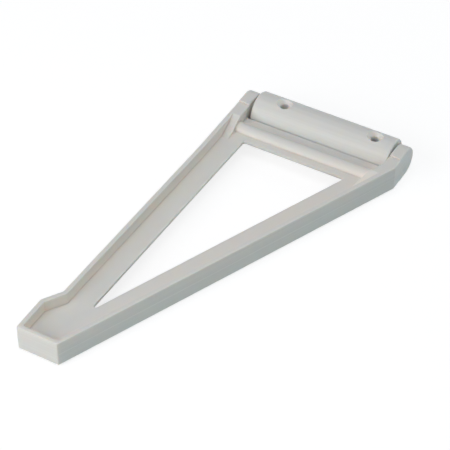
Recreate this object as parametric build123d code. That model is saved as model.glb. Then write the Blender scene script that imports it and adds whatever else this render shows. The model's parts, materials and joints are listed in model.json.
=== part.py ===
from build123d import *
import os

# Swing-out shelf bracket in two plastic mouldings, in millimetres.
# X runs along the hinge axis, -Y runs out to the tip of the frame, and Z = 0 is the wall.
# Both pieces are drawn about the middle of the ears, then moved to put the origin on the wall,
# midway between the two screws.

# Hinge
ear_span = 90.2
ear_thickness = 6.5
near_straight = 13.6
far_straight = 45.0
near_ramp_start = 20.5
far_ramp_start = 16.5
ramp_run = 12.0
knuckle_radius = 7.5
knuckle_land = 7.0
knuckle_fillet = 0.9
pin_radius = 3.5
pin_engagement = 3.8
pin_chamfer = 0.6
pin_clearance = 0.08
socket_end_gap = 0.9

# Mounting bar
bar_radius = 9.5
bar_end_gap = 0.95
bar_side_shift = 0.5
bar_wall = 2.6
bar_end_fillet = 0.9
bar_rib = 1.8
bar_ribs_between_screws = 3
screw_spacing = 50.0
screw_offset = 2.4
screw_hole_diameter = 4.3
screw_boss_diameter = 10.0
countersink_diameter = 8.6

# Swing frame
reach = 190.1
frame_thickness = 13.5
rim_wall = 2.6
arm_width = 13.3
near_arm_flare = 0.7
web_thickness = 1.5
draft_angle = 1.0
rim_fillet = 0.45
corner_radius = 0.9
opening_radius = 1.0
apex_radius = 1.0
nose_width = 21.7
nose_length = 19.6
nose_step = 6.1
nose_step_run = 9.3
arm_splay = 3.2
crossbar_front = 26.1
crossbar_clearance = 0.4
rod_radius = 3.6
rod_distance = 18.4

# Places worked out from the sizes above
pivot_height = knuckle_radius
ear_outer = ear_span / 2
ear_inner = ear_outer - ear_thickness
bar_half_length = ear_inner - bar_end_gap
bar_top = pivot_height + bar_radius
screw_middle = screw_offset - bar_side_shift
crossbar_rear = bar_radius + crossbar_clearance
hinge_plane = Plane.YZ.offset(-ear_span)
mid_plane = Plane.XY.offset(pivot_height)
hinge_bay = Rectangle(2 * ear_inner, 2 * crossbar_rear)


def inset_line(start, end, distance, flare=0.0):
    """Return a point and a direction of the line from start to end, moved to its left.

    The far end moves by flare more than the start does.
    """
    along = (end - start).normalized()
    left = Vector(-along.Y, along.X)
    inset_start = start + left * distance
    inset_end = end + left * (distance + flare)
    return inset_start, (inset_end - inset_start).normalized()


def meeting_point(first, second):
    """Return the point where two lines, each a point and a direction, cross."""
    (p, u), (q, v) = first, second
    share = ((q.X - p.X) * v.Y - (q.Y - p.Y) * v.X) / (u.X * v.Y - u.Y * v.X)
    return p + u * share


def half_round(radius, side_length):
    """Section with a half-round crown about its origin, on straight sides below it."""
    crown = CenterArc((0, 0), radius, 0, 180)
    sides = Polyline(crown @ 1, (-radius, -side_length), (radius, -side_length), crown @ 0)
    return make_face(crown.edges() + sides.edges())


def along_hinge(profile):
    """Extrude a section, drawn about the pivot, along the whole hinge axis and past both ears."""
    return Pos(0, 0, pivot_height) * extrude(hinge_plane * profile, 2 * ear_span)


def frame_outline():
    """Plan of the frame up to the hinge axis, counter-clockwise from the front of the nose."""
    arm_x = -ear_outer - arm_splay
    nose_x = arm_x - nose_step
    nose_back = nose_length - reach
    return [
        Vector(nose_x, -reach),
        Vector(nose_x + nose_width, -reach),
        Vector(ear_outer, -near_straight),
        Vector(ear_outer, 0),
        Vector(-ear_outer, 0),
        Vector(-ear_outer, -far_straight),
        Vector(arm_x, nose_back + nose_step_run),
        Vector(nose_x, nose_back),
    ]


def opening_face(corners):
    """Triangle between the two arms and the crossbar."""
    near_edge = inset_line(corners[1], corners[2], arm_width, near_arm_flare)
    far_edge = inset_line(corners[5], corners[6], arm_width)
    rear_edge = (Vector(0, -crossbar_front), Vector(1, 0))
    apex = meeting_point(near_edge, far_edge)
    near_rear = meeting_point(near_edge, rear_edge)
    far_rear = meeting_point(far_edge, rear_edge)
    triangle = make_face(Polyline(apex, near_rear, far_rear, close=True))
    rounded = fillet(triangle.vertices().sort_by(Axis.Y)[0], apex_radius)
    return fillet(rounded.vertices().sort_by(Axis.Y)[2:], opening_radius)


def upright(plan, half_height):
    """Extrude a plan both ways from the parting plane, with moulding draft."""
    return extrude(mid_plane * plan, half_height, both=True, taper=draft_angle)


def ear_root(outline, side, ramp_start):
    """Thick root of one arm beside the hinge, which ramps down to the web in front of the rod."""
    top = frame_thickness / 2
    ramp_end = ramp_start + ramp_run
    half = Pos(side * ear_span / 2, -ramp_end / 2) * Rectangle(ear_span, ramp_end)
    band = offset(outline, -rim_wall / 2, kind=Kind.INTERSECTION)
    band -= offset(outline, -ear_thickness, kind=Kind.INTERSECTION)
    ramp = [(-ramp_start, top), (-ramp_end, web_thickness / 2)]
    ramp_below = [(y, -z) for y, z in reversed(ramp)]
    profile = make_face(Polyline((ramp_end, top), *ramp, *ramp_below, (ramp_end, -top), close=True))
    return upright((band & half) - hinge_bay, top) & along_hinge(profile)


def rim_and_roots(outline):
    """The upright wall round the frame and its thick roots, with rounded top and bottom edges."""
    ear_ends = -rim_wall / 2
    inside = offset(outline, -rim_wall, kind=Kind.INTERSECTION)
    inside = fillet(inside.vertices(), corner_radius)
    outer_corners = outline.vertices().filter_by_position(Axis.Y, -reach, ear_ends)
    outside = fillet(outer_corners, corner_radius)
    walls = upright(outside - inside - hinge_bay, frame_thickness / 2)
    walls += ear_root(outline, 1, near_ramp_start)
    walls += ear_root(outline, -1, far_ramp_start)
    by_height = walls.faces().filter_by(Axis.Z).sort_by(Axis.Z)
    rim_edges = by_height[0].edges() + by_height[-1].edges()
    rim_edges = rim_edges.filter_by_position(Axis.Y, -reach, ear_ends)
    return fillet(rim_edges, rim_fillet)


def knuckle():
    """Rounded end of the ear on +X, slightly proud of the rim, before its socket is cut."""
    length = 2 * (knuckle_land + knuckle_radius)
    plan = Pos(ear_outer - ear_thickness / 2, 0) * Rectangle(ear_thickness, length)
    profile = Rot(0, 0, -90) * half_round(knuckle_radius, knuckle_land)
    body = upright(plan, length / 2) & along_hinge(profile)
    by_place = body.faces().sort_by(Axis.X)
    end_edges = by_place[:2].edges() + by_place[-2:].edges()
    parting_edges = end_edges.filter_by_position(Axis.Z, pivot_height, pivot_height)
    front_edges = end_edges.filter_by_position(Axis.Y, -knuckle_land, -knuckle_land)
    return fillet(end_edges - parting_edges - front_edges, knuckle_fillet)


def socket(side):
    """Blind hole in one ear for a pivot pin of the bar."""
    depth = pin_engagement + socket_end_gap
    middle = side * (ear_inner + depth / 2)
    hole = Cylinder(pin_radius + pin_clearance, depth, rotation=(0, 90, 0))
    return Pos(middle, 0, pivot_height) * hole


def swing_frame():
    """One moulding: rim, web, crossbar with its rod, and the two ears."""
    corners = frame_outline()
    outline = make_face(Polyline(*corners, close=True))
    core = offset(outline, -rim_wall / 2, kind=Kind.INTERSECTION)
    hinge_gap = Rectangle(ear_span, 2 * crossbar_rear)
    web_plan = core - opening_face(corners) - hinge_gap
    frame = rim_and_roots(outline)
    frame += extrude(mid_plane * web_plan, web_thickness / 2, both=True)
    rod = Cylinder(rod_radius, ear_span, rotation=(0, 90, 0))
    rod = Pos(0, -rod_distance, pivot_height) * rod
    frame += rod & extrude(mid_plane * core, rod_radius, both=True)
    near_knuckle = knuckle()
    frame += near_knuckle
    frame += mirror(near_knuckle, Plane.YZ)
    return frame - socket(1) - socket(-1)


def bar_cavity():
    """Moulding core under the bar, with ribs across it and a boss left round each screw."""
    half_length = bar_half_length - bar_wall
    section = Plane.YZ * half_round(bar_radius - bar_wall, pivot_height)
    cavity = Pos(-half_length, 0, pivot_height) * extrude(section, 2 * half_length)
    rib_pitch = screw_spacing / (bar_ribs_between_screws + 1)
    rib = Box(bar_rib, 2 * bar_radius, 2 * bar_top)
    for index in range(bar_ribs_between_screws + 2):
        cavity -= Pos(screw_middle + index * rib_pitch - screw_spacing / 2, 0, 0) * rib
    for side in (-1, 1):
        boss = Cylinder(screw_boss_diameter / 2, 2 * bar_top)
        cavity -= Pos(screw_middle + side * screw_spacing / 2, 0, 0) * boss
    return cavity


def screw_hole():
    """Clearance hole through the bar with a right-angled countersink at the top."""
    hole_radius = screw_hole_diameter / 2
    sink_radius = countersink_diameter / 2
    sink_depth = sink_radius - hole_radius
    sink = Cone(hole_radius, sink_radius, sink_depth)
    return Cylinder(hole_radius, 2 * bar_top) + Pos(0, 0, bar_top - sink_depth / 2) * sink


def mounting_bar():
    """One moulding: half-round bar, cored from the wall side, with a pivot pin at each end.

    Its side play is taken up towards the ear on +X.
    """
    section = Plane.YZ * half_round(bar_radius, pivot_height)
    bar = Pos(-bar_half_length, 0, pivot_height) * extrude(section, 2 * bar_half_length)
    end_faces = bar.faces().filter_by(Axis.X)
    end_edges = end_faces[0].edges() + end_faces[-1].edges()
    bar = fillet(end_edges.sort_by(Axis.Z)[2:], bar_end_fillet)
    bar -= bar_cavity()
    pin_length = bar_wall + bar_end_gap + pin_engagement
    for side in (-1, 1):
        bar -= Pos(screw_middle + side * screw_spacing / 2, 0, 0) * screw_hole()
        pin = Cylinder(pin_radius, pin_length, rotation=(0, 90, 0))
        pin = chamfer(pin.edges().sort_by(Axis.X)[-1], pin_chamfer)
        pin = Pos(bar_half_length - bar_wall + pin_length / 2, 0, pivot_height) * pin
        bar += pin if side > 0 else mirror(pin, Plane.YZ)
    return Pos(bar_side_shift, 0, 0) * bar


os.makedirs("parts", exist_ok=True)
for name, piece in (("swing_frame", swing_frame()), ("mounting_bar", mounting_bar())):
    export_step(Pos(-screw_offset, 0, 0) * piece, f"parts/{name}.step")
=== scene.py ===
"""Looks of the pivoting bracket: two off-white plastic mouldings on a white studio floor."""
import json
import math

import bmesh
import bpy
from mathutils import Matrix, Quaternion, Vector


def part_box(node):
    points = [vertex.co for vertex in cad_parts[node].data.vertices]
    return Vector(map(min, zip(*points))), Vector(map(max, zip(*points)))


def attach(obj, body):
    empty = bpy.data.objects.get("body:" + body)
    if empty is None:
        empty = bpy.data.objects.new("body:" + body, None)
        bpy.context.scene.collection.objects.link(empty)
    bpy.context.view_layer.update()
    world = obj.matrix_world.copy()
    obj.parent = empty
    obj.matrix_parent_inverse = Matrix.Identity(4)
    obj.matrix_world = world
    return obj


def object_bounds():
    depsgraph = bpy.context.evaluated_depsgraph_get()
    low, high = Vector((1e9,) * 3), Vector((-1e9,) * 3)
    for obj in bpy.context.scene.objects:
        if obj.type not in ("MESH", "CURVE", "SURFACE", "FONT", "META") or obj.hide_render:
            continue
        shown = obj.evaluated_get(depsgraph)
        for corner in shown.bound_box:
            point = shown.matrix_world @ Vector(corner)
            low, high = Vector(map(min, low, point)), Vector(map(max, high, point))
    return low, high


# Camera: places in metres, lens and sensor in millimetres, roll in degrees
CAMERA_PLACE = Vector((0.29548, -0.62230, 0.59899))
CAMERA_AIM = Vector((-0.01242, -0.08217, 0.00746))
CAMERA_LENS = 146.22
CAMERA_SENSOR = 36.0
CAMERA_ROLL = -0.071

# Soft lamps: direction from the bracket, power in watts, colour
LAMPS = {
    "key": ((-0.50, -0.72, 0.48), 6.76, (0.99, 0.985, 1.0)),
    "front": ((0.15, -1.0, 0.35), 3.27, (0.95, 1.0, 0.95)),
    "rear": ((0.50, 0.80, 0.40), 3.52, (0.82, 0.95, 1.0)),
    "top": ((0.0, 0.0, 1.0), 4.32, (1.0, 0.965, 0.985)),
    "window": ((1.0, -0.20, 0.35), 0.68, (0.05, 0.92, 1.0)),
}
LAMP_DISTANCE = 1.2
LAMP_SIZE = 0.8

# Sky, backdrop and floor
SKY_COLOUR = (0.92, 0.92, 1.0)
SKY_LIGHT = 0.098
BACKDROP_COLOUR = (1.0, 1.0, 1.0)
BACKDROP_LIGHT = 1.0
FLOOR_HALF = 3.0
FLOOR_DROP = 0.0002
FLOOR_BOUNCE = 0.8
FLOOR_SHADOW_SHARE = 0.3
FLOOR_GLOW = 0.8

# Tones of the plastic, by openness: 0 in a closed corner, 1 on a face with nothing near it.
# The cool and warm tones are the plastic's own; the crease and deep tones are painted bounce light,
# and the crevice shades are painted shade.
TONE_COOL = (0.722, 0.724, 0.700)
TONE_WARM = (0.742, 0.724, 0.690)
# Painted bounce light: recesses are coloured lighter and warmer than open faces, in place of light
# bounced between the walls and glowing through them.
PAINTED_BOUNCE_CREASE = (0.930, 0.845, 0.770)
PAINTED_BOUNCE_DEEP = (0.870, 0.860, 0.840)
DEEP_OPENNESS = 0.2
CREASE_OPENNESS = 0.4
FULL_OPENNESS = 1.0
PAINTED_BOUNCE_REACH = 0.012
# Painted shade: narrow crevices are darkened by these shares.
PAINTED_CREVICE_OPENNESS = (0.5, 0.95)
PAINTED_CREVICE_SHADES = (0.86, 1.0)
PAINTED_CREVICE_REACH = 0.0015
OPENNESS_SAMPLES = 16

# Mottling, draw lines and grain of the plastic, with scales in waves to the metre
NOISE_SPAN = (0.25, 0.75)
MOTTLE_SCALE = 30.0
MOTTLE_DETAIL = 3.0
FRAME_STREAKS = (12.0, 12.0, 900.0)
BAR_STREAKS = (12.0, 700.0, 700.0)
STREAK_SCALE = 1.0
STREAK_DETAIL = 4.0
STREAK_SHADES = (0.965, 1.03)
GRAIN_SCALE = 2500.0
GRAIN_DETAIL = 2.0
GRAIN_STRENGTH = 0.08
GRAIN_DEPTH = 0.0002
ROUGHNESS = (0.42, 0.52)

# Light that scatters in the plastic
SCATTER_REACH = 0.003
SCATTER_COLOURS = (1.0, 0.72, 0.50)
SCATTER_SHARE = 0.8
MARK_SCATTER_SHARE = 0.0

# Parting line, in metres
RIDGE_PROUD = 0.00005
RIDGE_HALF_HEIGHT = 0.00022
RIDGE_ROOT = 0.00005
RIDGE_START = 0.0005
RIDGE_FADE = 0.7
# Painted highlight: the seam's colour is made this much lighter, as if it caught the light.
RIDGE_PAINTED_HIGHLIGHT = 1.15
SECTION_LIFT = 0.00002
WELD = 0.000002

# Gate mark, in metres: its place on the ear, then radius and height from its middle outwards
GATE_PLACE_Y = -0.0028
GATE_PLACE_Z = 0.0051
GATE_PROFILE = (
    (0.00010, 0.00002),
    (0.00035, 0.00004),
    (0.00050, 0.00014),
    (0.00062, 0.00012),
    (0.00078, -0.00002),
)
GATE_SIDES = 32


def rgba(colour):
    return (*colour, 1.0)


def grey(level):
    return (level, level, level, 1.0)


class Tree:
    """A material's or world's node tree, with short calls to add and join nodes."""

    def __init__(self, owner):
        owner.use_nodes = True
        self.tree = owner.node_tree
        self.tree.nodes.clear()

    def node(self, kind, inputs=None, **settings):
        """New node, with its inputs linked where they are sockets and set where they aren't."""
        made = self.tree.nodes.new(kind)
        for name, value in settings.items():
            setattr(made, name, value)
        for name, value in (inputs or {}).items():
            if isinstance(value, bpy.types.NodeSocket):
                self.tree.links.new(value, made.inputs[name])
            else:
                made.inputs[name].default_value = value
        return made

    def larger(self, first, second):
        """The larger of two values."""
        return self.node("ShaderNodeMath", {0: first, 1: second}, operation="MAXIMUM").outputs[0]

    def mix(self, factor, first, second):
        """Colour between two others."""
        inputs = {"Factor": factor, 6: first, 7: second}
        return self.node("ShaderNodeMix", inputs, data_type="RGBA").outputs[2]

    def scaled(self, colour, share):
        """Colour made lighter or darker."""
        made = self.node("ShaderNodeVectorMath", {0: colour, "Scale": share}, operation="SCALE")
        return made.outputs["Vector"]

    def remap(self, value, given, wanted=(0.0, 1.0)):
        """Value carried from one range to another, and kept within it."""
        inputs = {
            "Value": value,
            "From Min": given[0],
            "From Max": given[1],
            "To Min": wanted[0],
            "To Max": wanted[1],
        }
        return self.node("ShaderNodeMapRange", inputs).outputs["Result"]

    def noise(self, place, scale, detail):
        """Random value that changes slowly from place to place."""
        inputs = {"Vector": place, "Scale": scale, "Detail": detail}
        return self.node("ShaderNodeTexNoise", inputs).outputs["Fac"]

    def openness(self, reach):
        """Share of the directions from a point that meet none of the same piece within reach."""
        settings = {"samples": OPENNESS_SAMPLES, "only_local": True}
        return self.node("ShaderNodeAmbientOcclusion", {"Distance": reach}, **settings).outputs["AO"]

    def seen(self):
        """1 for rays from the camera, from gloss and through clear things, else 0."""
        path = self.node("ShaderNodeLightPath")
        seen = self.larger(path.outputs["Is Camera Ray"], path.outputs["Is Glossy Ray"])
        return self.larger(seen, path.outputs["Is Transmission Ray"])


def plastic(name, streaks, scatter_share=SCATTER_SHARE, lighter=1.0):
    """Satin moulded plastic with slow mottling, draw lines and fine grain; recesses get painted
    bounce light, narrow crevices painted shade, and lighter above 1 paints a highlight.
    """
    material = bpy.data.materials.new(name)
    tree = Tree(material)
    place = tree.node("ShaderNodeTexCoord").outputs["Object"]

    mottle = tree.noise(place, MOTTLE_SCALE, MOTTLE_DETAIL)
    tone = tree.mix(mottle, rgba(TONE_COOL), rgba(TONE_WARM))
    stretched = tree.node("ShaderNodeMapping", {"Vector": place, "Scale": streaks})
    streak = tree.noise(stretched.outputs["Vector"], STREAK_SCALE, STREAK_DETAIL)
    # A lighter share above 1 paints a highlight over the whole tone.
    streak_shades = [shade * lighter for shade in STREAK_SHADES]
    tone = tree.scaled(tone, tree.remap(streak, NOISE_SPAN, streak_shades))

    # Painted bounce light: recesses get a lighter, warmer colour.
    openness = tree.openness(PAINTED_BOUNCE_REACH)
    shallow = tree.remap(openness, (DEEP_OPENNESS, CREASE_OPENNESS))
    painted_bounce = tree.mix(shallow, rgba(PAINTED_BOUNCE_DEEP), rgba(PAINTED_BOUNCE_CREASE))
    plain = tree.remap(openness, (CREASE_OPENNESS, FULL_OPENNESS))
    colour = tree.mix(plain, painted_bounce, tone)
    # Painted shade: narrow crevices get a darker colour.
    painted_crevice_shade = tree.remap(tree.openness(PAINTED_CREVICE_REACH), PAINTED_CREVICE_OPENNESS, PAINTED_CREVICE_SHADES)

    grain = tree.noise(place, GRAIN_SCALE, GRAIN_DETAIL)
    bump = tree.node(
        "ShaderNodeBump",
        {"Height": grain, "Strength": GRAIN_STRENGTH, "Distance": GRAIN_DEPTH},
    )
    shader = tree.node(
        "ShaderNodeBsdfPrincipled",
        {
            "Base Color": tree.scaled(colour, painted_crevice_shade),
            "Roughness": tree.remap(mottle, NOISE_SPAN, ROUGHNESS),
            "Normal": bump.outputs["Normal"],
            "Subsurface Weight": scatter_share,
            "Subsurface Radius": SCATTER_COLOURS,
            "Subsurface Scale": SCATTER_REACH,
        },
    )
    tree.node("ShaderNodeOutputMaterial", {"Surface": shader.outputs["BSDF"]})
    return material


def add_camera():
    """Camera of the photograph."""
    data = bpy.data.cameras.new("camera")
    data.lens = CAMERA_LENS
    data.sensor_width = CAMERA_SENSOR
    camera = bpy.data.objects.new("camera", data)
    camera.location = CAMERA_PLACE
    aim = (CAMERA_AIM - CAMERA_PLACE).to_track_quat("-Z", "Y")
    roll = Quaternion((0.0, 0.0, 1.0), math.radians(CAMERA_ROLL))
    camera.rotation_euler = (aim @ roll).to_euler()
    bpy.context.scene.collection.objects.link(camera)
    bpy.context.scene.camera = camera


def add_lamp(name, centre):
    """Square lamp that faces the middle of the bracket."""
    direction, power, colour = LAMPS[name]
    direction = Vector(direction).normalized()
    data = bpy.data.lights.new(name, "AREA")
    data.shape = "SQUARE"
    data.size = LAMP_SIZE
    data.energy = power
    data.color = colour
    lamp = bpy.data.objects.new(name, data)
    lamp.location = centre + direction * LAMP_DISTANCE
    lamp.rotation_euler = (-direction).to_track_quat("-Z", "Y").to_euler()
    bpy.context.scene.collection.objects.link(lamp)


def add_world():
    """Dim cool sky, which the camera sees as white."""
    world = bpy.data.worlds.new("studio")
    bpy.context.scene.world = world
    tree = Tree(world)
    light = tree.node("ShaderNodeBackground", {"Color": rgba(SKY_COLOUR), "Strength": SKY_LIGHT})
    backdrop = tree.node(
        "ShaderNodeBackground",
        {"Color": rgba(BACKDROP_COLOUR), "Strength": BACKDROP_LIGHT},
    )
    mixed = tree.node(
        "ShaderNodeMixShader",
        {0: tree.seen(), 1: light.outputs[0], 2: backdrop.outputs[0]},
    )
    tree.node("ShaderNodeOutputWorld", {"Surface": mixed.outputs[0]})


def add_floor():
    """White floor under the bracket, which keeps a faint shadow for the camera."""
    material = bpy.data.materials.new("floor")
    tree = Tree(material)
    bounce = tree.node("ShaderNodeBsdfDiffuse", {"Color": grey(FLOOR_BOUNCE)})
    shadow = tree.node("ShaderNodeBsdfDiffuse", {"Color": grey(FLOOR_SHADOW_SHARE)})
    glow = tree.node("ShaderNodeEmission", {"Strength": FLOOR_GLOW})
    white = tree.node("ShaderNodeAddShader", {0: shadow.outputs[0], 1: glow.outputs[0]})
    mixed = tree.node(
        "ShaderNodeMixShader",
        {0: tree.seen(), 1: bounce.outputs[0], 2: white.outputs[0]},
    )
    tree.node("ShaderNodeOutputMaterial", {"Surface": mixed.outputs[0]})
    corners = [(-1, -1), (1, -1), (1, 1), (-1, 1)]
    points = [(x * FLOOR_HALF, y * FLOOR_HALF, -FLOOR_DROP) for x, y in corners]
    mesh = bpy.data.meshes.new("floor")
    mesh.from_pydata(points, [], [(0, 1, 2, 3)])
    mesh.materials.append(material)
    floor = bpy.data.objects.new("floor", mesh)
    bpy.context.scene.collection.objects.link(floor)


def mesh_piece(name, points, faces, material, body):
    """Add a piece of the object, which rides on a body and wears the given material."""
    mesh = bpy.data.meshes.new(name)
    mesh.from_pydata(points, [], faces)
    mesh.materials.append(material)
    piece = bpy.data.objects.new(name, mesh)
    bpy.context.scene.collection.objects.link(piece)
    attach(piece, body)


def section_loops(node, height):
    """Closed rings of points where a level plane cuts a node."""
    cut = bmesh.new()
    cut.from_mesh(node.data)
    bmesh.ops.remove_doubles(cut, verts=cut.verts, dist=WELD)
    everything = cut.verts[:] + cut.edges[:] + cut.faces[:]
    sliced = bmesh.ops.bisect_plane(cut, geom=everything, plane_co=(0, 0, height), plane_no=(0, 0, 1))
    edges = {item for item in sliced["geom_cut"] if isinstance(item, bmesh.types.BMEdge)}
    loops = []
    while edges:
        edge = edges.pop()
        start, here = edge.verts
        ring = [start.co.copy()]
        while here != start:
            ring.append(here.co.copy())
            edge = next(linked for linked in here.link_edges if linked in edges)
            edges.remove(edge)
            here = edge.other_vert(here)
        loops.append(ring)
    cut.free()
    return loops


def enclosed(ring):
    """Area inside a level ring, negative if it runs clockwise."""
    pairs = zip(ring, ring[1:] + ring[:1])
    return sum(a.x * b.y - b.x * a.y for a, b in pairs) / 2


def arm_runs(ring):
    """Stretches of the outline along the far arm and the near arm, between nose and ear."""
    ring = ring if enclosed(ring) > 0 else ring[::-1]
    tip = min(range(len(ring)), key=lambda index: ring[index].y)
    ring = ring[tip:] + ring[:tip]
    middle = (max(p.x for p in ring) + min(p.x for p in ring)) / 2
    near = max((i for i, p in enumerate(ring) if p.x > middle), key=lambda i: ring[i].y)
    far = max((i for i, p in enumerate(ring) if p.x <= middle), key=lambda i: ring[i].y)
    start = ring[0].y + RIDGE_START
    return [p for p in ring[far:] if p.y > start], [p for p in ring[:near + 1] if p.y > start]


def parting_line(node, height, material):
    """Fine raised seam that the two mould halves leave along the outside of the arms.

    It gets lower and narrower towards the hinge.
    """
    ring = max(section_loops(node, height + SECTION_LIFT), key=lambda loop: abs(enclosed(loop)))
    front = min(p.y for p in ring)
    length = max(p.y for p in ring) - front
    profile = [
        (-RIDGE_ROOT, 0.0),
        (0.0, -RIDGE_HALF_HEIGHT),
        (RIDGE_PROUD, 0.0),
        (0.0, RIDGE_HALF_HEIGHT),
    ]
    sides = len(profile)
    points = []
    faces = []
    for run in arm_runs(ring):
        first = len(points)
        for index, place in enumerate(run):
            before = run[max(index - 1, 0)]
            after = run[min(index + 1, len(run) - 1)]
            along = (after - before).normalized()
            outward = Vector((along.y, -along.x, 0.0))
            share = 1.0 - RIDGE_FADE * (place.y - front) / length
            for out, up in profile:
                points.append(Vector((place.x, place.y, height + up * share)) + outward * out * share)
        last = len(points) - sides
        for start in range(first, last, sides):
            for side in range(sides):
                a = start + side
                b = start + (side + 1) % sides
                faces.append((a, b, b + sides, a + sides))
        faces.append(tuple(range(first, first + sides))[::-1])
        faces.append(tuple(range(last, last + sides)))
    mesh_piece("parting_line", points, faces, material, "frame")


def gate_mark(face_x, material):
    """Small round scar on the outside of the near ear, where the plastic was fed in."""
    points = []
    for radius, proud in GATE_PROFILE:
        for side in range(GATE_SIDES):
            turn = 2 * math.pi * side / GATE_SIDES
            y = GATE_PLACE_Y + radius * math.cos(turn)
            z = GATE_PLACE_Z + radius * math.sin(turn)
            points.append((face_x + proud, y, z))
    faces = [tuple(range(GATE_SIDES))]
    for ring in range(len(GATE_PROFILE) - 1):
        for side in range(GATE_SIDES):
            after = (side + 1) % GATE_SIDES
            a = ring * GATE_SIDES
            b = a + GATE_SIDES
            faces.append((a + side, b + side, b + after, a + after))
    last = (len(GATE_PROFILE) - 1) * GATE_SIDES
    faces.append(tuple(range(last, last + GATE_SIDES))[::-1])
    mesh_piece("gate_mark", points, faces, material, "frame")


def dress(node, material):
    """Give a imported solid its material."""
    node.data.materials.clear()
    node.data.materials.append(material)


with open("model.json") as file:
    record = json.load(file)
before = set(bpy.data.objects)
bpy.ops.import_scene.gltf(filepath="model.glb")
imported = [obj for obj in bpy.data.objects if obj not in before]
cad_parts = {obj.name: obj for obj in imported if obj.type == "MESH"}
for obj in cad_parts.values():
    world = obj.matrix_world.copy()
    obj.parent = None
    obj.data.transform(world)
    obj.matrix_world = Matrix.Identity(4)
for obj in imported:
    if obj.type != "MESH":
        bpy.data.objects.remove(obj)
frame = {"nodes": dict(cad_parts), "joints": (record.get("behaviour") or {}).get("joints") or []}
cad_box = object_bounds()
bpy.context.scene.view_settings.view_transform = "Standard"

add_camera()
add_world()
add_floor()
for lamp_name in LAMPS:
    add_lamp(lamp_name, (cad_box[0] + cad_box[1]) / 2)

swing_frame = frame["nodes"]["swing_frame"]
mounting_bar = frame["nodes"]["mounting_bar"]
dress(swing_frame, plastic("frame_plastic_look", FRAME_STREAKS))
dress(mounting_bar, plastic("bar_plastic_look", BAR_STREAKS))

pivot_height = frame["joints"][0]["pos_m"][2]
# The seam plastic is made lighter as a painted highlight.
seam_plastic = plastic("seam_plastic_look", FRAME_STREAKS, MARK_SCATTER_SHARE, RIDGE_PAINTED_HIGHLIGHT)
gate_plastic = plastic("gate_plastic_look", FRAME_STREAKS, MARK_SCATTER_SHARE)
parting_line(swing_frame, pivot_height, seam_plastic)
gate_mark(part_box("swing_frame")[1][0], gate_plastic)
